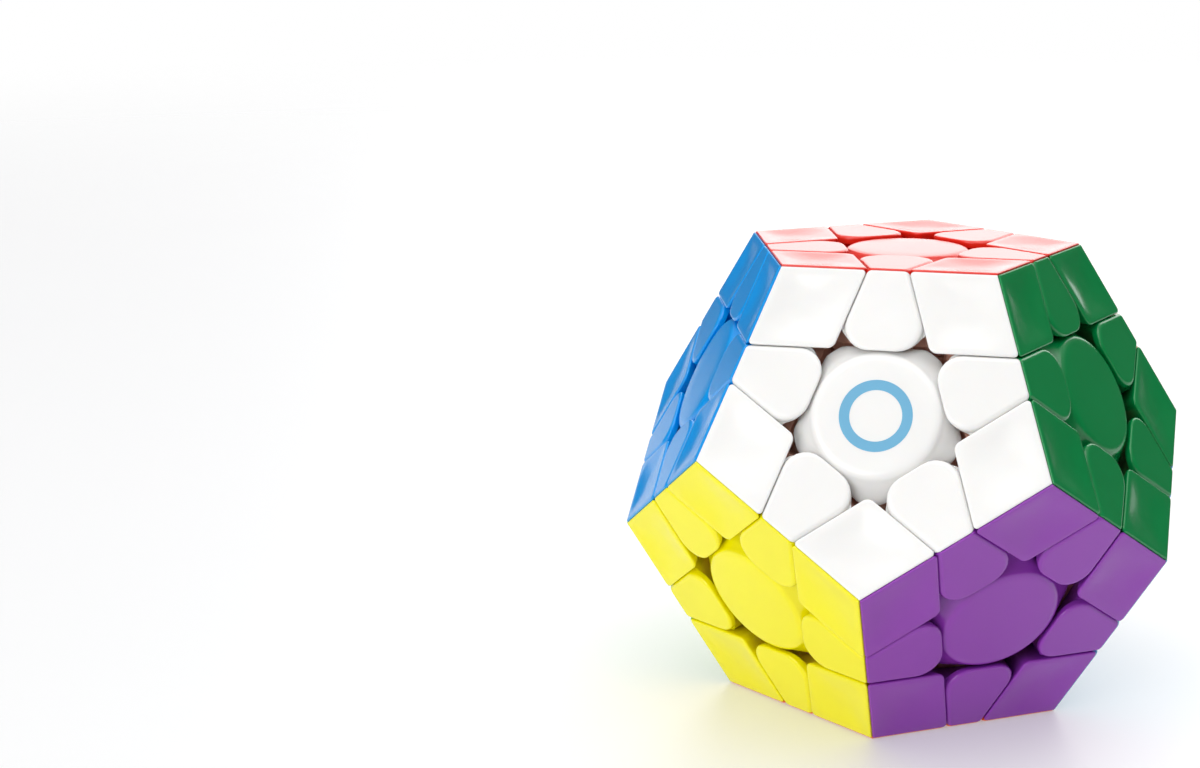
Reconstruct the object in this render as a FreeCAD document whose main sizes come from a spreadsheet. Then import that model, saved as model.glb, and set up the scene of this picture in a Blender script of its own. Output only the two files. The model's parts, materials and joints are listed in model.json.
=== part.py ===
import FreeCAD, Part

import math
import os

import Sketcher
from FreeCAD import Placement, Rotation, Vector

# A twelve-sided twisty puzzle that stands on its orange face.
#
# Every piece is a cell between twelve equal layer cuts, one round each face's axis. Seen from the puzzle's
# centre, a cut is a plane near the surface, then a cone that makes the neck, then a wider cone between two
# spheres that makes the foot. All of these are surfaces of revolution about the face's axis, so a layer
# turns with an even gap all round.
#
# The pieces are built once each round the puzzle's centre, with the piece's own direction along +Z, and are
# then turned to their places. The finished nodes are lifted by face_distance, so the origin is under the
# puzzle's middle, on the face that it stands on.

os.makedirs("parts", exist_ok=True)
doc = FreeCAD.newDocument("twisty_dodecahedron")

# ----------------------------------------------------------------------------------------------------------
# Driving dimensions, in millimetres and degrees. Levels are heights above the puzzle's centre, along a
# face's axis.
# ----------------------------------------------------------------------------------------------------------

DIMENSIONS = {
    # outer form and layer cuts
    "face_distance": 37.30,
    "cut_distance": 25.52,
    "piece_gap": 0.30,
    "neck_sphere": 35.5,
    "foot_top_sphere": 32.5,
    "foot_base_sphere": 28.5,
    "foot_cone_angle": 51.5,
    "layer_reach": 40.0,
    "cutter_radius": 70.0,
    "cone_overlap": 1.0,
    # corner and edge pieces
    "shell_wall": 1.8,
    "spigot_sphere": 39.5,
    "corner_round": 1.5,
    "edge_round": 3.6,
    # magnets
    "magnet_radius": 2.0,
    "magnet_thickness": 1.2,
    "magnet_sphere": 37.3,
    # centre cap
    "cap_top": 37.0,
    "cap_radius": 9.75,
    "cap_wall": 1.4,
    "cap_rim_round": 0.7,
    "skirt_radius": 11.45,
    "skirt_bottom": 33.35,
    "plug_bottom": 32.2,
    "plug_wall": 0.8,
    # centre base
    "hub_radius": 5.3,
    "hub_bottom": 21.4,
    "hub_bore": 1.6,
    "pocket_radius": 3.9,
    "pocket_floor": 24.4,
    "flange_radius": 10.6,
    "flange_low": 31.05,
    "flange_root": 32.45,
    # core
    "core_radius": 12.0,
    "boss_radius": 4.0,
    "boss_top": 21.0,
    # screw, washer, spring and tension nut
    "screw_radius": 1.2,
    "screw_tip": 10.5,
    "head_bottom": 30.3,
    "head_top": 32.0,
    "head_radius": 2.4,
    "recess_width": 0.7,
    "recess_length": 2.8,
    "recess_depth": 1.0,
    "bore_clearance": 0.1,
    "washer_radius": 3.5,
    "washer_bottom": 24.5,
    "washer_top": 25.0,
    "coil_radius": 2.6,
    "wire_radius": 0.3,
    "coil_turns": 4,
    "coil_bottom": 25.36,
    "coil_top": 29.04,
    "nut_bottom": 29.4,
    "nut_shoulder": 29.8,
    "nut_rim_radius": 3.4,
    "nut_top_radius": 2.9,
}

dims = doc.addObject("Spreadsheet::Sheet", "dims")
for row, (alias, value) in enumerate(DIMENSIONS.items(), start=1):
    dims.set(f"A{row}", alias)
    dims.set(f"B{row}", str(value))
    dims.setAlias(f"B{row}", alias)
doc.recompute()

# ----------------------------------------------------------------------------------------------------------
# The regular dodecahedron: face axes, and the angles between them
# ----------------------------------------------------------------------------------------------------------

FACE_TO_FACE = math.degrees(math.atan(2))
FACE_TO_EDGE = FACE_TO_FACE / 2
GOLDEN = (1 + math.sqrt(5)) / 2
FACE_TO_CORNER = math.degrees(math.atan(2 / GOLDEN**2))
EDGE_TO_SIDE_FACE = 90 - FACE_TO_EDGE

X_AXIS = Vector(1, 0, 0)
Y_AXIS = Vector(0, 1, 0)
Z_AXIS = Vector(0, 0, 1)

UPPER_RING = ("white", "green", "cream", "pink", "blue")
LOWER_RING = ("purple", "light_blue", "grey", "lime", "yellow")
FIFTH = 72
UPPER_START = -90
LOWER_START = UPPER_START + FIFTH / 2

# Three faces that don't touch each other carry a whole turning layer each.
LAYERS = ("green", "blue", "orange")


def face_axes():
    """The outward direction of each coloured face."""
    axes = {"red": Z_AXIS, "orange": -Z_AXIS}
    for ring, start, tilt in (
        (UPPER_RING, UPPER_START, FACE_TO_FACE),
        (LOWER_RING, LOWER_START, 180 - FACE_TO_FACE),
    ):
        for place, colour in enumerate(ring):
            around = Rotation(Z_AXIS, start + FIFTH * place)
            axes[colour] = around.multVec(Rotation(Y_AXIS, tilt).multVec(Z_AXIS))
    return axes


FACES = face_axes()


def neighbours(colour):
    """The five faces that share an edge with this one."""
    return [other for other in FACES if other != colour and FACES[other].dot(FACES[colour]) > 0]


def frame_along(direction, towards):
    """The turn that takes +Z to direction and keeps +X on the side of towards."""
    along = Vector(direction).normalize()
    across = towards - along * towards.dot(along)
    across.normalize()
    return Rotation(across, along.cross(across), along, "ZXY")


# ----------------------------------------------------------------------------------------------------------
# Small builders
# ----------------------------------------------------------------------------------------------------------


def bind(thing, **expressions):
    """Ties properties to the sheet. A double underscore in a name stands for a dot."""
    for name, expression in expressions.items():
        thing.setExpression(name.replace("__", "."), expression)
    return thing


def primitive(kind, name, **expressions):
    return bind(doc.addObject(kind, name), **expressions)


def placed(thing, turn):
    """A linked copy of a piece, turned about the puzzle's centre."""
    link = doc.addObject("App::Link", thing.Name + "_copy")
    link.LinkedObject = thing
    link.LinkTransform = True
    link.Placement = Placement(Vector(), turn)
    return link


def common(name, pieces):
    result = doc.addObject("Part::MultiCommon", name)
    result.Shapes = pieces
    return result


def fused(name, pieces):
    result = doc.addObject("Part::MultiFuse", name)
    result.Shapes = pieces
    return result


def cut(name, base, tools):
    """The base with each tool taken away in turn."""
    for number, tool in enumerate(tools, start=1):
        result = doc.addObject("Part::Cut", f"{name}_{number}")
        result.Base = base
        result.Tool = tool
        base = result
    return base


def value_of(expression):
    """A size read from the sheet, for the few places that an expression can't reach."""
    return 0.0 if expression == 0 else float(dims.evalExpression(expression))


# Sketcher's own numbers for the origin, the vertical axis, and a line's two ends
ORIGIN = -1
VERTICAL_AXIS = -2
START = 1
END = 2


def revolved(name, outline):
    """A body turned about +Z from an outline of (radius, level) pairs, each an expression or 0 on the axis."""
    body = doc.addObject("PartDesign::Body", name)
    sketch = body.newObject("Sketcher::SketchObject", name + "_outline")
    plane = next(item for item in body.Origin.OriginFeatures if item.Role == "XZ_Plane")
    sketch.AttachmentSupport = (plane, [""])
    sketch.MapMode = "FlatFace"
    points = [Vector(value_of(radius), value_of(level), 0) for radius, level in outline]
    count = len(points)
    for number in range(count):
        sketch.addGeometry(Part.LineSegment(points[number], points[(number + 1) % count]), False)
    for number in range(count):
        sketch.addConstraint(Sketcher.Constraint("Coincident", number, END, (number + 1) % count, START))
    for number, (radius, level) in enumerate(outline):
        height = sketch.addConstraint(
            Sketcher.Constraint("DistanceY", ORIGIN, START, number, START, points[number].y)
        )
        sketch.setExpression(f"Constraints[{height}]", level)
        if radius == 0:
            sketch.addConstraint(Sketcher.Constraint("PointOnObject", number, START, VERTICAL_AXIS))
        else:
            width = sketch.addConstraint(
                Sketcher.Constraint("DistanceX", ORIGIN, START, number, START, points[number].x)
            )
            sketch.setExpression(f"Constraints[{width}]", radius)
    turn = body.newObject("PartDesign::Revolution", name + "_turned")
    turn.Profile = sketch
    turn.ReferenceAxis = (sketch, ["V_Axis"])
    turn.Angle = 360
    return body


# ----------------------------------------------------------------------------------------------------------
# The layer cut, as solids round +Z
# ----------------------------------------------------------------------------------------------------------


def slab(name, low, high, reach="dims.cutter_radius"):
    """Everything between two levels, out to a reach that clears the piece it shapes."""
    return primitive(
        "Part::Cylinder",
        name,
        Radius=reach,
        Height=f"({high}) - ({low})",
        Placement__Base__z=low,
    )


def ball(name, radius):
    return primitive("Part::Sphere", name, Radius=radius)


def cone(name, apex, top, angle):
    """A cone that widens upwards from its apex."""
    return primitive(
        "Part::Cone",
        name,
        Radius1="0 mm",
        Radius2=f"(({top}) - ({apex})) * tan({angle})",
        Height=f"({top}) - ({apex})",
        Placement__Base__z=apex,
    )


NECK_ANGLE = "acos(dims.cut_distance / dims.neck_sphere)"
FOOT_ANGLE = "dims.foot_cone_angle * 1 deg"
HALF_GAP = "dims.piece_gap / 2"
INNER_CUT = f"dims.cut_distance + {HALF_GAP}"
OUTER_CUT = f"dims.cut_distance - {HALF_GAP}"


def layer_solid(name, gap):
    """One face's whole layer, shrunk by gap all round, or grown where gap is negative."""
    plane = f"dims.cut_distance + ({gap})"
    neck_apex = f"({gap}) / sin({NECK_ANGLE})"
    foot_apex = f"({gap}) / sin({FOOT_ANGLE})"
    above = slab(name + "_slab", plane, "2 * dims.face_distance")
    neck = cone(name + "_neck", neck_apex, f"{plane} + dims.cone_overlap", NECK_ANGLE)
    wide = cone(name + "_wide", foot_apex, "dims.foot_top_sphere", FOOT_ANGLE)
    foot = common(name + "_foot", [wide, ball(name + "_foot_top", f"dims.foot_top_sphere - ({gap})")])
    whole = fused(name + "_whole", [above, neck, foot])
    return cut(name, whole, [ball(name + "_hollow", f"dims.foot_base_sphere + ({gap})")])


layer_inside = layer_solid("layer_inside", HALF_GAP)
layer_outside = layer_solid("layer_outside", f"-({HALF_GAP})")
skin_slab = slab("skin_slab", INNER_CUT, "dims.face_distance", "dims.layer_reach")
core_slab = slab(
    "core_slab",
    f"{INNER_CUT} + dims.shell_wall",
    "dims.face_distance - dims.shell_wall",
    "dims.layer_reach",
)
side_cutter = slab("side_cutter", OUTER_CUT, "2 * dims.face_distance")
wall_cutter = slab("wall_cutter", f"{OUTER_CUT} - dims.shell_wall", "2 * dims.face_distance")
neck_ball = ball("neck_ball", "dims.neck_sphere")
spigot_ball = ball("spigot_ball", "dims.spigot_sphere")

CORNER_TURNS = [Rotation(Z_AXIS, 120 * number) * Rotation(Y_AXIS, FACE_TO_CORNER) for number in range(3)]
EDGE_TURNS = [Rotation(Y_AXIS, FACE_TO_EDGE), Rotation(Y_AXIS, -FACE_TO_EDGE)]
SIDE_TURNS = [Rotation(X_AXIS, EDGE_TO_SIDE_FACE), Rotation(X_AXIS, -EDGE_TO_SIDE_FACE)]


def copies(thing, turns):
    return [placed(thing, turn) for turn in turns]


def rounded(name, base, cuts, radius):
    """The base with each edge where two of its cut planes meet rounded. cuts holds (turn, level) pairs."""
    doc.recompute()
    planes = [(turn.multVec(Z_AXIS), value_of(level)) for turn, level in cuts]
    size = value_of(radius)

    def planes_through(edge):
        return sum(
            all(abs(vertex.Point.dot(axis) - level) < 1e-4 for vertex in edge.Vertexes)
            for axis, level in planes
        )

    result = doc.addObject("Part::Fillet", name)
    result.Base = base
    result.Edges = [
        (number, size, size)
        for number, edge in enumerate(base.Shape.Edges, start=1)
        if planes_through(edge) == 2
    ]
    return result


# ----------------------------------------------------------------------------------------------------------
# Magnets, each a disc that lies behind a wall on one side of a layer cut
# ----------------------------------------------------------------------------------------------------------

MAGNET_ACROSS = "sqrt(dims.magnet_sphere^2 - dims.cut_distance^2)"
MAGNET_ABOVE = f"{INNER_CUT} + dims.shell_wall"
MAGNET_BELOW = f"{OUTER_CUT} - dims.shell_wall - dims.magnet_thickness"


def magnet(name, level):
    return primitive(
        "Part::Cylinder",
        name,
        Radius="dims.magnet_radius",
        Height="dims.magnet_thickness",
        Placement__Base__x=f"-({MAGNET_ACROSS})",
        Placement__Base__z=level,
    )


magnet_above_cut = magnet("magnet_above_cut", MAGNET_ABOVE)
magnet_below_cut = magnet("magnet_below_cut", MAGNET_BELOW)

# ----------------------------------------------------------------------------------------------------------
# Corner piece: three coloured shells on a foot, with its corner along +Z
# ----------------------------------------------------------------------------------------------------------

corner_skin = rounded(
    "corner_skin",
    common("corner_block", copies(skin_slab, CORNER_TURNS)),
    [(turn, INNER_CUT) for turn in CORNER_TURNS],
    "dims.corner_round",
)
corner_core = common("corner_core", copies(core_slab, CORNER_TURNS))
third = primitive("Part::Cylinder", "third", Radius="dims.cutter_radius", Height="dims.cutter_radius")
third.Angle = 120
corner_shell = common(
    "corner_shell",
    [cut("corner_shells", corner_skin, [corner_core, neck_ball]), placed(third, Rotation(Z_AXIS, -60))],
)
corner_foot = cut(
    "corner_foot",
    fused(
        "corner_foot_whole",
        [
            common("corner_neck", copies(layer_inside, CORNER_TURNS) + [neck_ball]),
            common("corner_spigot", [corner_core, spigot_ball]),
        ],
    ),
    copies(magnet_above_cut, CORNER_TURNS),
)
corner_magnets = copies(magnet_above_cut, CORNER_TURNS)

# ----------------------------------------------------------------------------------------------------------
# Edge piece: two coloured shells on a foot, with the middle of its edge along +Z
# ----------------------------------------------------------------------------------------------------------

edge_skin = rounded(
    "edge_skin",
    cut("edge_block", common("edge_pair", copies(skin_slab, EDGE_TURNS)), copies(side_cutter, SIDE_TURNS)),
    [(turn, INNER_CUT) for turn in EDGE_TURNS] + [(turn, OUTER_CUT) for turn in SIDE_TURNS],
    "dims.edge_round",
)
edge_core = cut(
    "edge_core", common("edge_core_pair", copies(core_slab, EDGE_TURNS)), copies(wall_cutter, SIDE_TURNS)
)
half = primitive("Part::Cylinder", "half", Radius="dims.cutter_radius", Height="dims.cutter_radius")
half.Angle = 180
edge_shell = common(
    "edge_shell",
    [cut("edge_shells", edge_skin, [edge_core, neck_ball]), placed(half, Rotation(Z_AXIS, -90))],
)
edge_neck = cut(
    "edge_neck",
    common("edge_neck_pair", copies(layer_inside, EDGE_TURNS) + [neck_ball]),
    copies(layer_outside, SIDE_TURNS),
)
# A side face's magnet lies across the edge's middle, so its disc is turned a quarter to point at the edge
SIDE_MAGNET_TURNS = [
    Rotation(X_AXIS, EDGE_TO_SIDE_FACE) * Rotation(Z_AXIS, -90),
    Rotation(X_AXIS, -EDGE_TO_SIDE_FACE) * Rotation(Z_AXIS, 90),
]
edge_foot = cut(
    "edge_foot",
    fused("edge_foot_whole", [edge_neck, common("edge_spigot", [edge_core, spigot_ball])]),
    copies(magnet_below_cut, SIDE_MAGNET_TURNS),
)

# ----------------------------------------------------------------------------------------------------------
# Centre: a cap on a base, and the screw, washer, spring and tension nut that hold it to the core
# ----------------------------------------------------------------------------------------------------------

cap_blank = revolved(
    "cap_blank",
    [
        (0, "dims.cap_top"),
        ("dims.cap_radius", "dims.cap_top"),
        ("dims.skirt_radius", "dims.skirt_bottom"),
        ("dims.skirt_radius - dims.cap_wall", "dims.skirt_bottom"),
        ("dims.cap_radius - dims.cap_wall", "dims.cap_top - dims.cap_wall"),
        ("dims.pocket_radius", "dims.cap_top - dims.cap_wall"),
        ("dims.pocket_radius", "dims.plug_bottom"),
        ("dims.pocket_radius - dims.plug_wall", "dims.plug_bottom"),
        ("dims.pocket_radius - dims.plug_wall", "dims.cap_top - dims.cap_wall"),
        (0, "dims.cap_top - dims.cap_wall"),
    ],
)
doc.recompute()
centre_cap = doc.addObject("Part::Fillet", "centre_cap")
centre_cap.Base = cap_blank
centre_cap.Edges = [
    (number, value_of("dims.cap_rim_round"), value_of("dims.cap_rim_round"))
    for number, edge in enumerate(cap_blank.Shape.Edges, start=1)
    if abs(edge.BoundBox.ZMin - value_of("dims.cap_top")) < 1e-4
    and abs(edge.BoundBox.XMax - value_of("dims.cap_radius")) < 1e-2
]
centre_base = revolved(
    "centre_base",
    [
        ("dims.hub_bore", "dims.hub_bottom"),
        ("dims.hub_radius", "dims.hub_bottom"),
        ("dims.hub_radius", "dims.flange_root"),
        ("dims.flange_radius", "dims.flange_low"),
        ("dims.skirt_radius", "dims.skirt_bottom"),
        ("dims.pocket_radius", "dims.skirt_bottom"),
        ("dims.pocket_radius", "dims.pocket_floor"),
        ("dims.hub_bore", "dims.pocket_floor"),
    ],
)
screw_blank = revolved(
    "screw_blank",
    [
        (0, "dims.screw_tip"),
        ("dims.screw_radius / 2", "dims.screw_tip"),
        ("dims.screw_radius", "dims.screw_tip + dims.screw_radius"),
        ("dims.screw_radius", "dims.head_bottom"),
        ("dims.head_radius", "dims.head_bottom"),
        ("dims.head_radius", "dims.head_top"),
        (0, "dims.head_top"),
    ],
)


def recess_bar(name, length, width):
    return primitive(
        "Part::Box",
        name,
        Length=length,
        Width=width,
        Height="2 * dims.recess_depth",
        Placement__Base__x=f"-({length}) / 2",
        Placement__Base__y=f"-({width}) / 2",
        Placement__Base__z="dims.head_top - dims.recess_depth",
    )


screw = cut(
    "screw",
    screw_blank,
    [
        recess_bar("recess_across", "dims.recess_length", "dims.recess_width"),
        recess_bar("recess_along", "dims.recess_width", "dims.recess_length"),
    ],
)
washer = revolved(
    "washer",
    [
        ("dims.screw_radius + dims.bore_clearance", "dims.washer_bottom"),
        ("dims.washer_radius", "dims.washer_bottom"),
        ("dims.washer_radius", "dims.washer_top"),
        ("dims.screw_radius + dims.bore_clearance", "dims.washer_top"),
    ],
)
tension_nut = revolved(
    "tension_nut",
    [
        ("dims.screw_radius + dims.bore_clearance", "dims.nut_bottom"),
        ("dims.nut_rim_radius", "dims.nut_bottom"),
        ("dims.nut_rim_radius", "dims.nut_shoulder"),
        ("dims.nut_top_radius", "dims.head_bottom"),
        ("dims.screw_radius + dims.bore_clearance", "dims.head_bottom"),
    ],
)
COIL_PITCH = "(dims.coil_top - dims.coil_bottom) / dims.coil_turns"


def coil_half(number):
    """Half a turn of wire: half a ring, tilted so that it climbs half a pitch and joins the next in line."""
    piece = primitive(
        "Part::Torus",
        f"coil_half_{number}",
        Radius1=f"sqrt(dims.coil_radius^2 + ({COIL_PITCH} / 4)^2)",
        Radius2="dims.wire_radius",
        Placement__Base__z=f"dims.coil_bottom + {COIL_PITCH} * {2 * number + 1} / 4",
    )
    piece.Angle3 = 180
    climb = math.degrees(math.atan(value_of(f"{COIL_PITCH} / 4 / dims.coil_radius")))
    piece.Placement.Rotation = Rotation(Z_AXIS, 180 * number) * Rotation(Y_AXIS, climb)
    return piece


spring = fused("spring", [coil_half(number) for number in range(2 * int(value_of("dims.coil_turns")))])

# ----------------------------------------------------------------------------------------------------------
# Core: a ball with twelve bosses
# ----------------------------------------------------------------------------------------------------------

# Which way a round piece is turned about its own axis doesn't matter, so any side that isn't a face's axis
# will do.
ANY_SIDE = Vector(3, 2, 1)
FACE_TURNS = {colour: frame_along(axis, ANY_SIDE) for colour, axis in FACES.items()}
boss = primitive("Part::Cylinder", "boss", Radius="dims.boss_radius", Height="dims.boss_top")
thread = primitive(
    "Part::Cylinder",
    "thread",
    Radius="dims.screw_radius",
    Height="dims.boss_top",
    Placement__Base__z="dims.screw_tip",
)
core = cut(
    "core",
    fused("core_blank", [ball("core_ball", "dims.core_radius")] + copies(boss, FACE_TURNS.values())),
    copies(thread, FACE_TURNS.values()),
)

# ----------------------------------------------------------------------------------------------------------
# The nodes: each is a group of pieces of one kind and colour that ride on one turning body
# ----------------------------------------------------------------------------------------------------------

nodes = {}


def add(node, piece, turn):
    nodes.setdefault(node, []).append(placed(piece, turn))


def body_of(colours):
    """The turning layer that a piece with these colours belongs to, or the frame."""
    layer = next((colour for colour in colours if colour in LAYERS), None)
    return f"{layer}_layer" if layer else "frame"


def add_corner(colours):
    direction = sum((FACES[colour] for colour in colours), Vector())
    body = body_of(colours)
    for colour in colours:
        add(f"{body}_{colour}_shells", corner_shell, frame_along(direction, FACES[colour]))
    turn = frame_along(direction, FACES[colours[0]])
    add(f"{body}_corner_feet", corner_foot, turn)
    for disc in corner_magnets:
        add(f"{body}_magnets", magnet_above_cut, turn * disc.Placement.Rotation)


def add_edge(colours):
    direction = sum((FACES[colour] for colour in colours), Vector())
    body = body_of(colours)
    for colour in colours:
        add(f"{body}_{colour}_shells", edge_shell, frame_along(direction, FACES[colour]))
    turn = frame_along(direction, FACES[colours[0]])
    add(f"{body}_edge_feet", edge_foot, turn)
    for side in SIDE_MAGNET_TURNS:
        add(f"{body}_magnets", magnet_below_cut, turn * side)


def add_centre(colour):
    turn = FACE_TURNS[colour]
    if colour in LAYERS:
        add(f"{colour}_centre_cap", centre_cap, turn)
        add(f"{colour}_centre_base", centre_base, turn)
    else:
        add(f"{colour}_centre", centre_cap, turn)
        add(f"{colour}_centre", centre_base, turn)
    add("tension_screws", screw, turn)
    add("washers", washer, turn)
    add("tension_springs", spring, turn)
    add("tension_nuts", tension_nut, turn)


add("core", core, Rotation())
for first in FACES:
    add_centre(first)
    for second in neighbours(first):
        if first < second:
            add_edge((first, second))
        for third_colour in neighbours(first):
            if first < second < third_colour and third_colour in neighbours(second):
                add_corner((first, second, third_colour))

finished = []
for label, pieces in nodes.items():
    node = doc.addObject("Part::Compound", label + "_node")
    node.Label = label
    node.Links = pieces
    bind(node, Placement__Base__z="dims.face_distance")
    finished.append(node)
doc.recompute()

# ----------------------------------------------------------------------------------------------------------
# Checks, then one file for each node
# ----------------------------------------------------------------------------------------------------------

for thing in doc.Objects:
    if "Invalid" in thing.State or "Error" in thing.State:
        raise RuntimeError(f"{thing.Label} failed: {thing.State}")
for node in finished:
    if node.Shape.isNull() or not node.Shape.isValid() or len(node.Shape.Solids) != len(node.Links):
        raise RuntimeError(f"{node.Label} isn't a set of closed solids")
for node in finished:
    node.Shape.exportStep(f"parts/{node.Label}.step")
    print(node.Label, len(node.Shape.Solids), round(node.Shape.Volume, 1))
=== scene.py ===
"""A twelve-sided twisty puzzle that stands on one face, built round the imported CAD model, in metres."""

import json
import math

import bmesh
import bpy
from mathutils import Matrix, Vector


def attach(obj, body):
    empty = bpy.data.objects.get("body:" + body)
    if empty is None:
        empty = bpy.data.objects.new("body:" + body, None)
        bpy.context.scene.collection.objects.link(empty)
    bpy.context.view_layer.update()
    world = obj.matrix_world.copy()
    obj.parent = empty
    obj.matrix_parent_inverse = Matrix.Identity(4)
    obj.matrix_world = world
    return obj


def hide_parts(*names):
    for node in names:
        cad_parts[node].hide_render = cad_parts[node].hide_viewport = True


MM = 0.001

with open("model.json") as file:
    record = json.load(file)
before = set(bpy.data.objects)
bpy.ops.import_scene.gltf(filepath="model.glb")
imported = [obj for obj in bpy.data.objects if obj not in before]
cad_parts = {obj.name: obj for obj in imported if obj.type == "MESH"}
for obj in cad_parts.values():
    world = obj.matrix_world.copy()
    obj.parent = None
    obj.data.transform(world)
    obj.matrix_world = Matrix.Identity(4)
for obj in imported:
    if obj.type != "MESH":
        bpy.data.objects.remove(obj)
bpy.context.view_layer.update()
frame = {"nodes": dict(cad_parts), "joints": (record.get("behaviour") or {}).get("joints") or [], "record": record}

# ----------------------------------------------------------------------------------------------------------
# The frame: one joint for each face's axis, all through the puzzle's centre
# ----------------------------------------------------------------------------------------------------------

CENTRE = Vector(frame["joints"][0]["pos_m"])
FACE_DISTANCE = CENTRE.z
FACES = {}
for joint in frame["joints"]:
    colour = joint["child"].removesuffix("_layer").removesuffix("_centre")
    FACES[colour] = Vector(joint["axis"]).normalized()
LAYERS = [j["child"].removesuffix("_layer") for j in frame["joints"] if j["child"].endswith("_layer")]

FACE_TO_FACE = math.atan(2)
FIFTH = math.radians(72)

# Sizes that the CAD model keeps in its sheet
CUT_DISTANCE = 25.52 * MM
NECK_SPHERE = 35.5 * MM
SHELL_WALL = 1.8 * MM
CORNER_ROUND = 1.5 * MM
EDGE_ROUND = 3.6 * MM
CAP_TOP = 37.0 * MM
CAP_RADIUS = 9.75 * MM
SKIRT_RADIUS = 11.45 * MM
SKIRT_BOTTOM = 33.35 * MM
HUB_RADIUS = 5.3 * MM
HUB_BOTTOM = 21.4 * MM
HUB_BORE = 1.6 * MM
POCKET_RADIUS = 3.9 * MM
POCKET_FLOOR = 24.4 * MM
FLANGE_RADIUS = 10.6 * MM
FLANGE_LOW = 31.05 * MM
FLANGE_ROOT = 32.45 * MM


def neighbours(colour):
    """The five faces round this one, in order round its axis."""
    axis = FACES[colour]
    near = [other for other in FACES if other != colour and FACES[other].dot(axis) > 0]
    across = (FACES[near[0]] - axis * FACES[near[0]].dot(axis)).normalized()
    up = axis.cross(across)
    return sorted(near, key=lambda other: math.atan2(FACES[other].dot(up), FACES[other].dot(across)))


def face_matrix(colour, first):
    """The face's plane, with +Z outward and +X towards the neighbour called first."""
    axis = FACES[colour]
    across = (FACES[first] - axis * FACES[first].dot(axis)).normalized()
    up = axis.cross(across)
    turn = Matrix((across, up, axis)).transposed().to_4x4()
    return Matrix.Translation(CENTRE + axis * FACE_DISTANCE) @ turn


def body_of(colours):
    """The body that a piece with these colours rides on."""
    for colour in colours:
        if colour in LAYERS:
            return colour + "_layer"
    return "frame"


# ----------------------------------------------------------------------------------------------------------
# Materials
# ----------------------------------------------------------------------------------------------------------


def new_material(name):
    material = bpy.data.materials.new(name)
    material.use_nodes = True
    nodes = material.node_tree.nodes
    return material, nodes, material.node_tree.links, nodes["Principled BSDF"]


def set_inputs(node, values):
    for name, value in values.items():
        node.inputs[name].default_value = value


def new_node(nodes, kind, values):
    node = nodes.new(kind)
    set_inputs(node, values)
    return node


def object_noise(nodes, links, values):
    """A noise in the object's own coordinates."""
    texture = new_node(nodes, "ShaderNodeTexNoise", values)
    place = nodes.new("ShaderNodeTexCoord")
    links.new(place.outputs["Object"], texture.inputs["Vector"])
    return texture.outputs["Fac"]


def colour_ramp(nodes, links, factor, *stops):
    """The factor as a colour, between two (position, colour) stops."""
    ramp = nodes.new("ShaderNodeValToRGB")
    for element, (position, colour) in zip(ramp.color_ramp.elements, stops):
        element.position = position
        element.color = (*colour, 1)
    links.new(factor, ramp.inputs["Fac"])
    return ramp.outputs["Color"]


def spread(nodes, links, factor, low, high):
    """The factor, mapped so that it runs from low to high."""
    mapped = new_node(nodes, "ShaderNodeMapRange", {"To Min": low, "To Max": high})
    links.new(factor, mapped.inputs["Value"])
    return mapped.outputs["Result"]


def shade(colour, share):
    return [channel * share for channel in colour]


def moulded_plastic(name, colour, roughness=0.2):
    """Through-coloured glossy plastic: faint flow marks in its colour, uneven gloss and a fine skin."""
    material, nodes, links, shader = new_material(name)
    flow = object_noise(nodes, links, {"Scale": 55, "Detail": 3, "Distortion": 0.6})
    tint = colour_ramp(nodes, links, flow, (0.3, shade(colour, 0.955)), (0.7, colour))
    links.new(tint, shader.inputs["Base Color"])
    gloss = spread(nodes, links, flow, roughness * 0.85, roughness * 1.2)
    links.new(gloss, shader.inputs["Roughness"])
    skin = object_noise(nodes, links, {"Scale": 1400, "Detail": 2})
    bump = new_node(nodes, "ShaderNodeBump", {"Strength": 0.006, "Distance": 0.03 * MM})
    links.new(skin, bump.inputs["Height"])
    links.new(bump.outputs["Normal"], shader.inputs["Normal"])
    set_inputs(
        shader,
        {
            "IOR": 1.53,
            "Subsurface Weight": 0.2,
            "Subsurface Radius": (1.0, 0.75, 0.55),
            "Subsurface Scale": 1.2 * MM,
        },
    )
    return material


def metal(name, colour, roughness, scale):
    """Bare metal with fine marks."""
    material, nodes, links, shader = new_material(name)
    marks = object_noise(nodes, links, {"Scale": scale, "Detail": 4})
    tint = colour_ramp(nodes, links, marks, (0, shade(colour, 0.8)), (1, colour))
    links.new(tint, shader.inputs["Base Color"])
    rough = spread(nodes, links, marks, roughness * 0.7, roughness * 1.4)
    links.new(rough, shader.inputs["Roughness"])
    set_inputs(shader, {"Metallic": 1.0})
    return material


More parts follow.
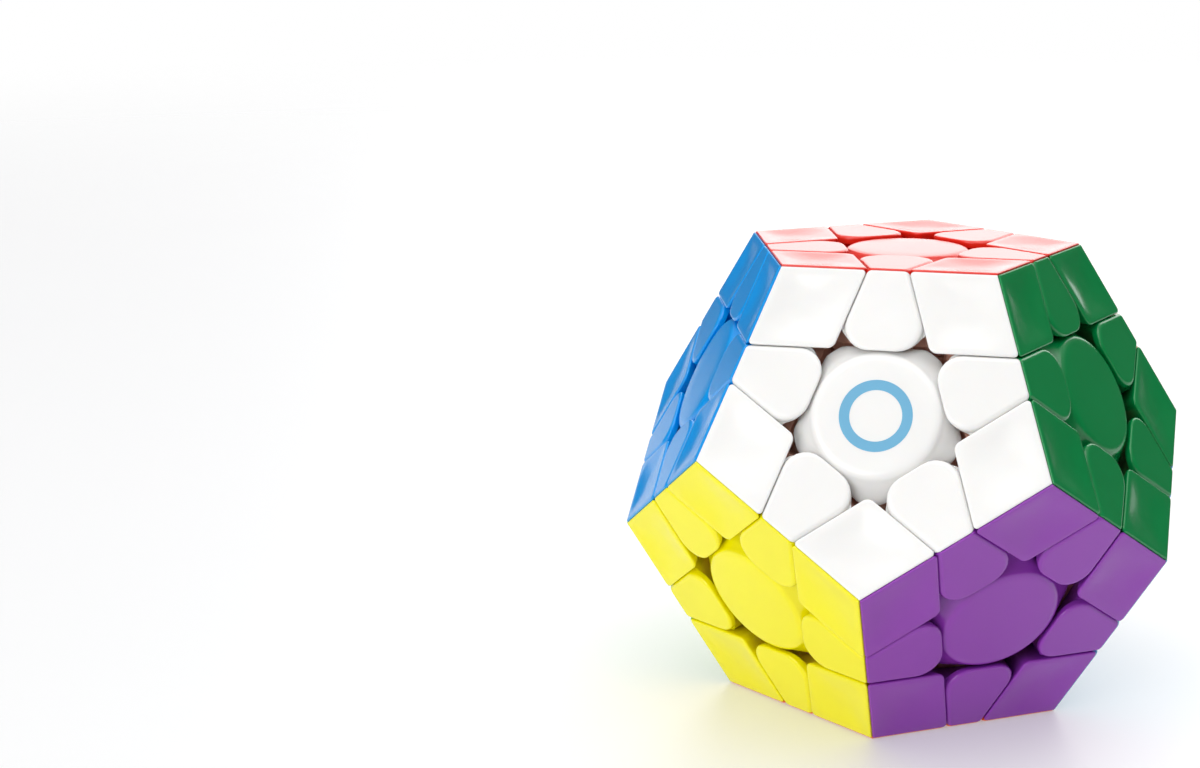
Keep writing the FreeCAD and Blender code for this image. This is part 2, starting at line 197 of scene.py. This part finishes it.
FACE_COLOURS = {
    "white": (0.905, 0.898, 0.882),
    "red": (0.80, 0.03, 0.015),
    "orange": (0.95, 0.13, 0.008),
    "green": (0.0, 0.25, 0.062),
    "blue": (0.0, 0.32, 0.82),
    "yellow": (0.98, 0.89, 0.0),
    "purple": (0.285, 0.042, 0.44),
    "light_blue": (0.19, 0.52, 0.78),
    "cream": (0.88, 0.74, 0.42),
    "pink": (0.86, 0.17, 0.36),
    "grey": (0.16, 0.17, 0.18),
    "lime": (0.26, 0.62, 0.01),
}
PLASTIC = {colour: moulded_plastic(colour + "_abs", value) for colour, value in FACE_COLOURS.items()}
INNER_MATERIALS = {
    # The feet's warm brown is partly their plastic and partly painted shade: it is chosen to give the brown-red of
    # the shaded gaps between the pieces
    "foot_plastic": moulded_plastic("foot_abs", (0.68, 0.35, 0.26), 0.4),
    "core_plastic": moulded_plastic("core_nylon", (0.75, 0.75, 0.72), 0.45),
    "nut_plastic": moulded_plastic("nut_acetal", (0.03, 0.16, 0.5), 0.35),
    "screw_steel": metal("zinc_plated_steel", (0.62, 0.62, 0.60), 0.3, 900),
    "spring_steel": metal("spring_steel", (0.58, 0.58, 0.56), 0.22, 1500),
    "magnet_steel": metal("nickel_plate", (0.70, 0.67, 0.62), 0.12, 600),
}

# ----------------------------------------------------------------------------------------------------------
# Facelet outlines, on a face's plane
# ----------------------------------------------------------------------------------------------------------

# Half the seam between two shells: their coloured skins stand a hair proud of the CAD model's plain ones
HALF_GAP = 0.08 * MM
SLOPE_MITRE = -math.tan(FACE_TO_FACE / 2)
SLOPE_CUT = 1 / math.tan(FACE_TO_FACE)
EDGE_LINE = FACE_DISTANCE * math.tan(FACE_TO_FACE / 2)


def cut_line(gap):
    """How far a cut's line lies from the face's middle."""
    return (CUT_DISTANCE + gap - FACE_DISTANCE * math.cos(FACE_TO_FACE)) / math.sin(FACE_TO_FACE)


class Side:
    """One straight side of a facelet, seen from above the face.

    normal is its outward direction, distance is how far it lies from the face's middle, slope is how that
    distance grows with depth, and mitre is whether it lies on an edge of the dodecahedron.
    """

    def __init__(self, angle, distance, slope, mitre):
        self.normal = Vector((math.cos(angle), math.sin(angle)))
        self.distance = distance
        self.slope = slope
        self.mitre = mitre

    def at(self, depth, inset):
        return self.distance + self.slope * depth - inset


def mitre_side(angle):
    """An edge of the dodecahedron, where the shell meets the shell of the next face."""
    return Side(angle, EDGE_LINE, SLOPE_MITRE, True)


def inner_side(angle):
    """A cut that this piece lies outside of."""
    return Side(angle + math.pi, -cut_line(HALF_GAP), -SLOPE_CUT, False)


def outer_side(angle):
    """A cut that this piece lies inside of."""
    return Side(angle, cut_line(-HALF_GAP), SLOPE_CUT, False)


def crossing(one, other, one_at, other_at):
    """The point where two sides meet, each at its own distance from the face's middle."""
    a, b = one.normal, other.normal
    scale = a.x * b.y - a.y * b.x
    return Vector(((one_at * b.y - other_at * a.y) / scale, (a.x * other_at - b.x * one_at) / scale))


# Steps along each side of a loop, and round each of its corners
SIDE_STEPS = 8
ARC_STEPS = 7
SHARP_ANGLE = math.radians(32)
WELD_DISTANCE = 1e-7


class Outline:
    """A four-sided facelet with a round at each corner.

    rounds[n] is the round at the corner after side n, and relief[n] is how far the wall under side n is cut
    back.
    """

    def __init__(self, sides, rounds, relief):
        self.sides = sides
        self.rounds = rounds
        self.relief = relief

    def loop(self, depths, insets, rounds=None):
        """The outline's points. depths and insets hold one value for each side."""
        rounds = rounds or self.rounds
        count = len(self.sides)
        at = [side.at(depths[n], insets[n]) for n, side in enumerate(self.sides)]
        arcs = []
        for n, side in enumerate(self.sides):
            after = (n + 1) % count
            other = self.sides[after]
            centre = crossing(side, other, at[n] - rounds[n], at[after] - rounds[n])
            start = math.atan2(side.normal.y, side.normal.x)
            sweep = (math.atan2(other.normal.y, other.normal.x) - start) % math.tau
            points = []
            for step in range(ARC_STEPS + 1):
                share = step / ARC_STEPS
                angle = start + sweep * share
                spot = centre + Vector((math.cos(angle), math.sin(angle))) * rounds[n]
                depth = depths[n] * (1 - share) + depths[after] * share
                points.append((spot, depth))
            arcs.append(points)
        out = []
        for n in range(count):
            before = arcs[n - 1][-1]
            begin = arcs[n][0]
            for step in range(1, SIDE_STEPS):
                share = step / SIDE_STEPS
                out.append((before[0].lerp(begin[0], share), depths[n]))
            out += arcs[n]
        return [Vector((spot.x, spot.y, -depth)) for spot, depth in out]

    def on_mitre(self):
        """For each point of a loop, whether it is on the open stretch of a mitred side."""
        marks = []
        for side in self.sides:
            marks += [side.mitre] * (SIDE_STEPS - 1)
            marks += [False] * (ARC_STEPS + 1)
        return marks


# An edge's plate reaches over the skirt of the cap beside it, so the wall under the plate's end stands back
SKIRT_RELIEF = 1.8 * MM
RELIEF_WALL = 0.6 * MM
PLATE_END = 1.25 * MM
WALL_ROUND = 1.3 * MM
SMALLEST_ROUND = 0.3 * MM
# A second depth on the walls, which with the first gives each wall's line down to the neck
WALL_DEPTH = 4 * MM

CRISP = 0.12 * MM
JOINED = 0.55 * MM
corner_outline = Outline(
    [mitre_side(0), mitre_side(FIFTH), inner_side(0), inner_side(FIFTH)],
    [CRISP, JOINED, CORNER_ROUND, JOINED],
    [0, 0, 0, 0],
)
edge_outline = Outline(
    [mitre_side(0), outer_side(FIFTH), inner_side(0), outer_side(-FIFTH)],
    [JOINED, EDGE_ROUND, EDGE_ROUND, JOINED],
    [0, 0, SKIRT_RELIEF, 0],
)

RIM_ROUND = 0.48 * MM
MITRE_ROUND = 0.48 * MM
MITRE_GAP = 0.012 * MM
RIM_STEPS = 5
# How far in from the outline the loops on a facelet's top lie
RIM_START = 0.6 * MM
FLAT_MARGIN = 0.75 * MM
FLAT_INSETS = (2.6 * MM, 1.5 * MM)
DISH_MARGIN = 0.95 * MM
DISH_DEPTH = 0.5 * MM
DISH_ROUND = 2.4 * MM
DISH_STEPS = 16
# Shares of the way from the dish's border to its middle: where its floor starts, and where its innermost
# loop is
DISH_SLOPE = 0.85
DISH_INNERMOST = 0.94
# How soft the dish's border is, and its loops' rounds as a share of the way left to the middle
DISH_SOFTNESS = 1.4
DISH_ROUNDNESS = 0.75
DISH_REACH = (EDGE_LINE - cut_line(HALF_GAP)) / 2 - DISH_MARGIN


def rim_loops(outline):
    """Loops over the rounded rim, from the top surface down to the walls."""
    rounds = [MITRE_ROUND if side.mitre else RIM_ROUND for side in outline.sides]
    gaps = [MITRE_GAP if side.mitre else 0 for side in outline.sides]
    loops = []
    for step in range(RIM_STEPS + 1):
        angle = math.pi / 2 * step / RIM_STEPS
        depths = [size * (1 - math.cos(angle)) for size in rounds]
        insets = [size * (1 - math.sin(angle)) + gap for size, gap in zip(rounds, gaps)]
        loops.append(outline.loop(depths, insets))
    return loops


def level(outline, depth, inset, walls=(0, 0, 0, 0), rounds=None):
    """A loop at one depth. walls gives a further inset for each side that has a wall."""
    insets = [
        MITRE_GAP + inset if side.mitre else inset + wall for side, wall in zip(outline.sides, walls)
    ]
    return outline.loop([depth] * len(outline.sides), insets, rounds)


def to_neck(near, far):
    """Where the line from near through far meets the neck sphere, in the face's own frame."""
    centre = Vector((0, 0, -FACE_DISTANCE))
    along = (far - near).normalized()
    offset = near - centre
    half = offset.dot(along)
    return near + along * (-half - math.sqrt(half * half - offset.length_squared + NECK_SPHERE**2))


def shrunk(rounds, inset):
    """The rounds of an outline that lies further in."""
    return [max(size - inset, SMALLEST_ROUND) for size in rounds]


def flat_top(outline):
    """Loops from the middle of a flat facelet out to its rim."""
    loops = []
    for inset in FLAT_INSETS:
        loops.append(level(outline, 0, inset, rounds=shrunk(outline.rounds, inset)))
    return loops + [level(outline, 0, FLAT_MARGIN), level(outline, 0, RIM_START)]


def dished_top(outline):
    """Loops from the middle of a dished facelet out to its rim. The dish is steepest near its border."""
    loops = []
    for step in range(DISH_STEPS, -1, -1):
        share = DISH_INNERMOST * step / DISH_STEPS
        way = min(share / DISH_SLOPE, 1)
        drop = Vector((0, 0, DISH_DEPTH * (1 - (1 - way) ** 2) ** DISH_SOFTNESS))
        size = min(DISH_ROUND, DISH_REACH * (1 - share) * DISH_ROUNDNESS)
        rounds = [size] * len(outline.sides)
        flat = level(outline, 0, DISH_MARGIN + DISH_REACH * share, rounds=rounds)
        loops.append([point - drop for point in flat])
    between = [(own + DISH_ROUND) / 2 for own in outline.rounds]
    loops.append(level(outline, 0, (DISH_MARGIN + RIM_START) / 2, rounds=between))
    loops.append(level(outline, 0, RIM_START))
    return loops


def shell_loops(outline, top):
    """Every loop of one shell: out over its top, round the rim, down the walls and back up inside."""
    loops = top(outline) + rim_loops(outline)
    rounds = outline.rounds
    if any(outline.relief):
        rounds = [min(size, WALL_ROUND) for size in outline.rounds]
        loops += [level(outline, PLATE_END, 0), level(outline, PLATE_END, 0, outline.relief, rounds)]
    marks = outline.on_mitre()
    outside = [level(outline, depth, 0, outline.relief, rounds) for depth in (PLATE_END, WALL_DEPTH)]
    inner_rounds = shrunk(rounds, SHELL_WALL)
    inner_walls = [size + RELIEF_WALL if size else SHELL_WALL for size in outline.relief]
    inside = [level(outline, depth, 0, inner_walls, inner_rounds) for depth in (SHELL_WALL, WALL_DEPTH)]
    plate = level(outline, SHELL_WALL, 0)
    outer_foot, inner_foot = (
        [plate[n] if marks[n] else to_neck(near[n], far[n]) for n in range(len(marks))]
        for near, far in (outside, inside)
    )
    ceiling = [plate[n] if marks[n] else inside[0][n] for n in range(len(marks))]
    return loops + [outer_foot, inner_foot, ceiling]


def bridge(builder, one, other):
    """Faces between two rows of vertices. A row of one vertex fills the other row like a fan."""
    count = max(len(one), len(other))
    for n in range(count):
        after = (n + 1) % count
        if len(one) == 1:
            builder.faces.new((one[0], other[n], other[after]))
        elif len(other) == 1:
            builder.faces.new((one[after], one[n], other[0]))
        else:
            builder.faces.new((one[n], other[n], other[after], one[after]))


def finished_mesh(name, builder):
    bmesh.ops.recalc_face_normals(builder, faces=builder.faces)
    mesh = bpy.data.meshes.new(name)
    builder.to_mesh(mesh)
    builder.free()
    mesh.shade_smooth()
    mesh.set_sharp_from_angle(angle=SHARP_ANGLE)
    return mesh


def shell_mesh(name, loops, placement):
    """A closed mesh: each loop is bridged to the next, and the first and last are filled."""
    builder = bmesh.new()
    rows = [[builder.verts.new(placement @ point) for point in loop] for loop in loops]
    middles = [sum((vertex.co for vertex in row), Vector()) / len(row) for row in (rows[0], rows[-1])]
    first, last = ([builder.verts.new(middle)] for middle in middles)
    rows = [first, *rows, last]
    for one, other in zip(rows, rows[1:]):
        bridge(builder, one, other)
    bmesh.ops.remove_doubles(builder, verts=builder.verts, dist=WELD_DISTANCE)
    bmesh.ops.dissolve_degenerate(builder, edges=builder.edges, dist=WELD_DISTANCE)
    return finished_mesh(name, builder)


def new_object(name, data):
    """A new object in the scene."""
    made = bpy.data.objects.new(name, data)
    bpy.context.scene.collection.objects.link(made)
    return made


def add_piece(name, mesh, body, node, material):
    """A finished piece that rides on a body and takes the place of part of a CAD node."""
    piece = new_object(name, mesh)
    mesh.materials.append(material)
    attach(piece, body)
    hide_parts(node)


def facelets(colour):
    """The five corner shells and five edge shells of one face."""
    around = neighbours(colour)
    for n, first in enumerate(around):
        second = around[(n + 1) % len(around)]
        placement = face_matrix(colour, first)
        for kind, others, outline, top in (
            ("corner", (first, second), corner_outline, dished_top),
            ("edge", (first,), edge_outline, flat_top),
        ):
            body = body_of((colour, *others))
            name = f"{colour}_{kind}_shell_{n + 1}"
            mesh = shell_mesh(name, shell_loops(outline, top), placement)
            add_piece(name, mesh, body, f"{body}_{colour}_shells", PLASTIC[colour])


# ----------------------------------------------------------------------------------------------------------
# Centre caps and bases
# ----------------------------------------------------------------------------------------------------------

LATHE_STEPS = 120
CAP_GAP = 0.15 * MM


def axis_matrix(colour):
    """The puzzle's centre, with +Z outward along the face's axis."""
    placement = face_matrix(colour, neighbours(colour)[0])
    return placement @ Matrix.Translation((0, 0, -FACE_DISTANCE))


def within_cuts(angle, height):
    """How far from a face's axis its centre may reach before it meets a neighbour's layer cut."""
    beside = (angle + FIFTH / 2) % FIFTH - FIFTH / 2
    depth = FACE_DISTANCE - height
    return (cut_line(-CAP_GAP) + SLOPE_CUT * depth) / math.cos(beside)


def lathe(name, outline, placement, closed):
    """Turns (radius, height above the puzzle's centre) pairs round +Z, trimmed by the neighbours' cuts."""
    builder = bmesh.new()
    rows = []
    for radius, height in outline:
        if radius == 0:
            rows.append([builder.verts.new(placement @ Vector((0, 0, height)))])
            continue
        rows.append([])
        for step in range(LATHE_STEPS):
            angle = math.tau * step / LATHE_STEPS
            reach = min(radius, within_cuts(angle, height))
            spot = Vector((reach * math.cos(angle), reach * math.sin(angle), height))
            rows[-1].append(builder.verts.new(placement @ spot))
    if closed:
        rows.append(rows[0])
    for one, other in zip(rows, rows[1:]):
        bridge(builder, one, other)
    return finished_mesh(name, builder)


CAP_WALL = 1.4 * MM
SKIRT_REACH = 13.1 * MM
SKIRT_TIP = 33.8 * MM
SKIRT_TIP_WALL = 0.1 * MM
PLUG_WALL = 0.8 * MM
PLUG_BOTTOM = 32.2 * MM
# Radius and height, in millimetres, down the cap's side: a soft shoulder that clears the tongues' plates,
# and then the flare
CAP_SIDE = [
    (8.5, 37.0),
    (8.95, 36.96),
    (9.35, 36.87),
    (9.7, 36.7),
    (9.97, 36.46),
    (10.17, 36.18),
    (10.45, 35.9),
    (10.8, 35.6),
    (11.2, 35.25),
    (11.7, 34.85),
    (12.2, 34.48),
    (12.7, 34.12),
    (13.1, 33.8),
]


def cap_outline():
    """A flat round top, a soft shoulder, and a flare like a bell's that the cuts trim to a pentagon."""
    tip = SKIRT_TIP - SKIRT_TIP_WALL
    under = CAP_TOP - CAP_WALL
    return (
        [(0, CAP_TOP), (CAP_RADIUS / 2, CAP_TOP)]
        + [(radius * MM, height * MM) for radius, height in CAP_SIDE]
        + [
            (SKIRT_REACH, tip),
            (SKIRT_RADIUS - CAP_GAP, tip),
            (SKIRT_RADIUS - CAP_GAP, SKIRT_BOTTOM),
            (SKIRT_RADIUS - CAP_WALL, SKIRT_BOTTOM),
            (CAP_RADIUS - CAP_WALL, under),
            (POCKET_RADIUS, under),
            (POCKET_RADIUS, PLUG_BOTTOM),
            (POCKET_RADIUS - PLUG_WALL, PLUG_BOTTOM),
            (POCKET_RADIUS - PLUG_WALL, under),
            (0, under),
        ]
    )


PRINT_INNER = 4.0 * MM
PRINT_OUTER = 5.6 * MM
# How far the print reaches above and below the cap's top
PRINT_REACH = 0.015 * MM

BASE_OUTLINE = [
    (HUB_BORE, HUB_BOTTOM),
    (HUB_RADIUS, HUB_BOTTOM),
    (HUB_RADIUS, FLANGE_ROOT),
    (FLANGE_RADIUS, FLANGE_LOW),
    (SKIRT_RADIUS, SKIRT_BOTTOM),
    (POCKET_RADIUS, SKIRT_BOTTOM),
    (POCKET_RADIUS, POCKET_FLOOR),
    (HUB_BORE, POCKET_FLOOR),
]


def cap_and_base(colour):
    """The centre of a face: its cap, and the base under it."""
    placement = axis_matrix(colour)
    layered = colour in LAYERS
    body = colour + ("_layer" if layered else "_centre")
    for part, outline, closed in (("cap", cap_outline(), False), ("base", BASE_OUTLINE, True)):
        name = f"{colour}_{part}"
        node = f"{colour}_centre_{part}" if layered else colour + "_centre"
        mesh = lathe(name, outline, placement, closed)
        add_piece(name, mesh, body, node, PLASTIC[colour])


def cap_print(colour, ink):
    """A plain round ring printed on a cap."""
    name = colour + "_cap_print"
    low, high = CAP_TOP - PRINT_REACH, CAP_TOP + PRINT_REACH
    outline = [(PRINT_INNER, low), (PRINT_OUTER, low), (PRINT_OUTER, high), (PRINT_INNER, high)]
    mesh = lathe(name, outline, axis_matrix(colour), True)
    piece = new_object(name, mesh)
    mesh.materials.append(PLASTIC[ink])
    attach(piece, colour + "_centre")


for colour in FACES:
    facelets(colour)
    cap_and_base(colour)
cap_print("white", "light_blue")

slots = {entry["node"]: entry["material_slot"] for entry in frame["record"]["subparts"]}
for name, node in frame["nodes"].items():
    if slots[name] in INNER_MATERIALS:
        node.data.materials.clear()
        node.data.materials.append(INNER_MATERIALS[slots[name]])

# ----------------------------------------------------------------------------------------------------------
# Floor, light and camera
# ----------------------------------------------------------------------------------------------------------

# The floor's radius, and the radius where it starts to fade
FLOOR_END = 1.3
FLOOR_FADE = 0.35
FLOOR_SIDES = 96


def floor():
    """Pale paper that fades into the backdrop a long way out."""
    builder = bmesh.new()
    bmesh.ops.create_circle(builder, cap_ends=True, radius=FLOOR_END, segments=FLOOR_SIDES)
    mesh = bpy.data.meshes.new("floor")
    builder.to_mesh(mesh)
    builder.free()
    material, nodes, links, shader = new_material("floor_paper")
    grain = new_node(nodes, "ShaderNodeTexNoise", {"Scale": 40})
    dark, light = (0.59, 0.59, 0.595), (0.60, 0.60, 0.605)
    tint = colour_ramp(nodes, links, grain.outputs["Fac"], (0, dark), (1, light))
    links.new(tint, shader.inputs["Base Color"])
    set_inputs(
        shader,
        {
            "Roughness": 0.5,
            "Emission Color": (1, 1, 1, 1),
            "Emission Strength": 0.3,
        },
    )
    place = nodes.new("ShaderNodeTexCoord")
    distance = nodes.new("ShaderNodeVectorMath")
    distance.operation = "LENGTH"
    ends = {"From Min": FLOOR_FADE, "From Max": FLOOR_END, "To Min": 1, "To Max": 0}
    fade = new_node(nodes, "ShaderNodeMapRange", ends)
    fade.interpolation_type = "SMOOTHSTEP"
    links.new(place.outputs["Object"], distance.inputs["Vector"])
    links.new(distance.outputs["Value"], fade.inputs["Value"])
    links.new(fade.outputs["Result"], shader.inputs["Alpha"])
    mesh.materials.append(material)
    new_object("floor", mesh)


def studio():
    """A white backdrop, and a room that is dim near the floor and lighter above."""
    world = bpy.data.worlds.new("studio")
    bpy.context.scene.world = world
    world.use_nodes = True
    nodes, links = world.node_tree.nodes, world.node_tree.links
    room = nodes["Background"]
    place = nodes.new("ShaderNodeTexCoord")
    parts = nodes.new("ShaderNodeSeparateXYZ")
    links.new(place.outputs["Generated"], parts.inputs["Vector"])
    rise = colour_ramp(nodes, links, parts.outputs["Z"], (0.3, [0.08] * 3), (0.9, [0.75] * 3))
    links.new(rise, room.inputs["Color"])
    backdrop = new_node(nodes, "ShaderNodeBackground", {"Color": (1, 1, 1, 1)})
    seen = nodes.new("ShaderNodeLightPath")
    choice = nodes.new("ShaderNodeMixShader")
    links.new(seen.outputs["Is Camera Ray"], choice.inputs["Fac"])
    links.new(room.outputs["Background"], choice.inputs[1])
    links.new(backdrop.outputs["Background"], choice.inputs[2])
    links.new(choice.outputs["Shader"], nodes["World Output"].inputs["Surface"])
    bpy.context.scene.view_settings.view_transform = "Standard"


def soft_box(name, place, size, power):
    """A rectangular light that faces the puzzle's centre. Its power is in watts."""
    light = bpy.data.lights.new(name, "AREA")
    light.shape = "RECTANGLE"
    light.size, light.size_y = size
    light.energy = power
    lamp = new_object(name, light)
    lamp.location = place
    lamp.rotation_mode = "QUATERNION"
    lamp.rotation_quaternion = (CENTRE - Vector(place)).to_track_quat("-Z", "Y")


# Where the camera stands round the puzzle's centre, and how it is turned, in radians, from looking straight
# at it
CAMERA_AZIMUTH = math.radians(7.175)
CAMERA_ELEVATION = math.radians(14.928)
CAMERA_DISTANCE = 0.3815
CAMERA_ROLL = 0.0287
CAMERA_PAN = -0.0361
CAMERA_TILT = -0.1321
# In millimetres
LENS = 68.14
SENSOR_WIDTH = 36


def camera():
    """Looks down from a little right of the front, with the puzzle right of and below the middle."""
    right = Vector((math.cos(CAMERA_AZIMUTH), math.sin(CAMERA_AZIMUTH), 0))
    level_back = Vector((math.sin(CAMERA_AZIMUTH), -math.cos(CAMERA_AZIMUTH), 0))
    back = level_back * math.cos(CAMERA_ELEVATION) + Vector((0, 0, math.sin(CAMERA_ELEVATION)))
    straight = Matrix((right, back.cross(right), back))
    roll = Matrix.Rotation(-CAMERA_ROLL, 3, "Z")
    swing = Vector((CAMERA_PAN, CAMERA_TILT, 0))
    turned = Matrix.Rotation(swing.length, 3, swing.normalized()) @ roll @ straight
    lens = bpy.data.cameras.new("camera")
    lens.sensor_width = SENSOR_WIDTH
    lens.lens = LENS
    lens.clip_start, lens.clip_end = 0.01, 20
    eye = new_object("camera", lens)
    eye.matrix_world = Matrix.Translation(CENTRE + back * CAMERA_DISTANCE) @ turned.transposed().to_4x4()
    bpy.context.scene.camera = eye


floor()
studio()
soft_box("top_light", (0.0, -0.3, 1.5), (2.0, 1.6), 14.9)
soft_box("front_light", (-0.8, -1.6, 0.5), (1.3, 1.0), 14.3)
soft_box("back_light", (0.06, 1.3, 0.6), (1.24, 1.1), 9.3)
camera()
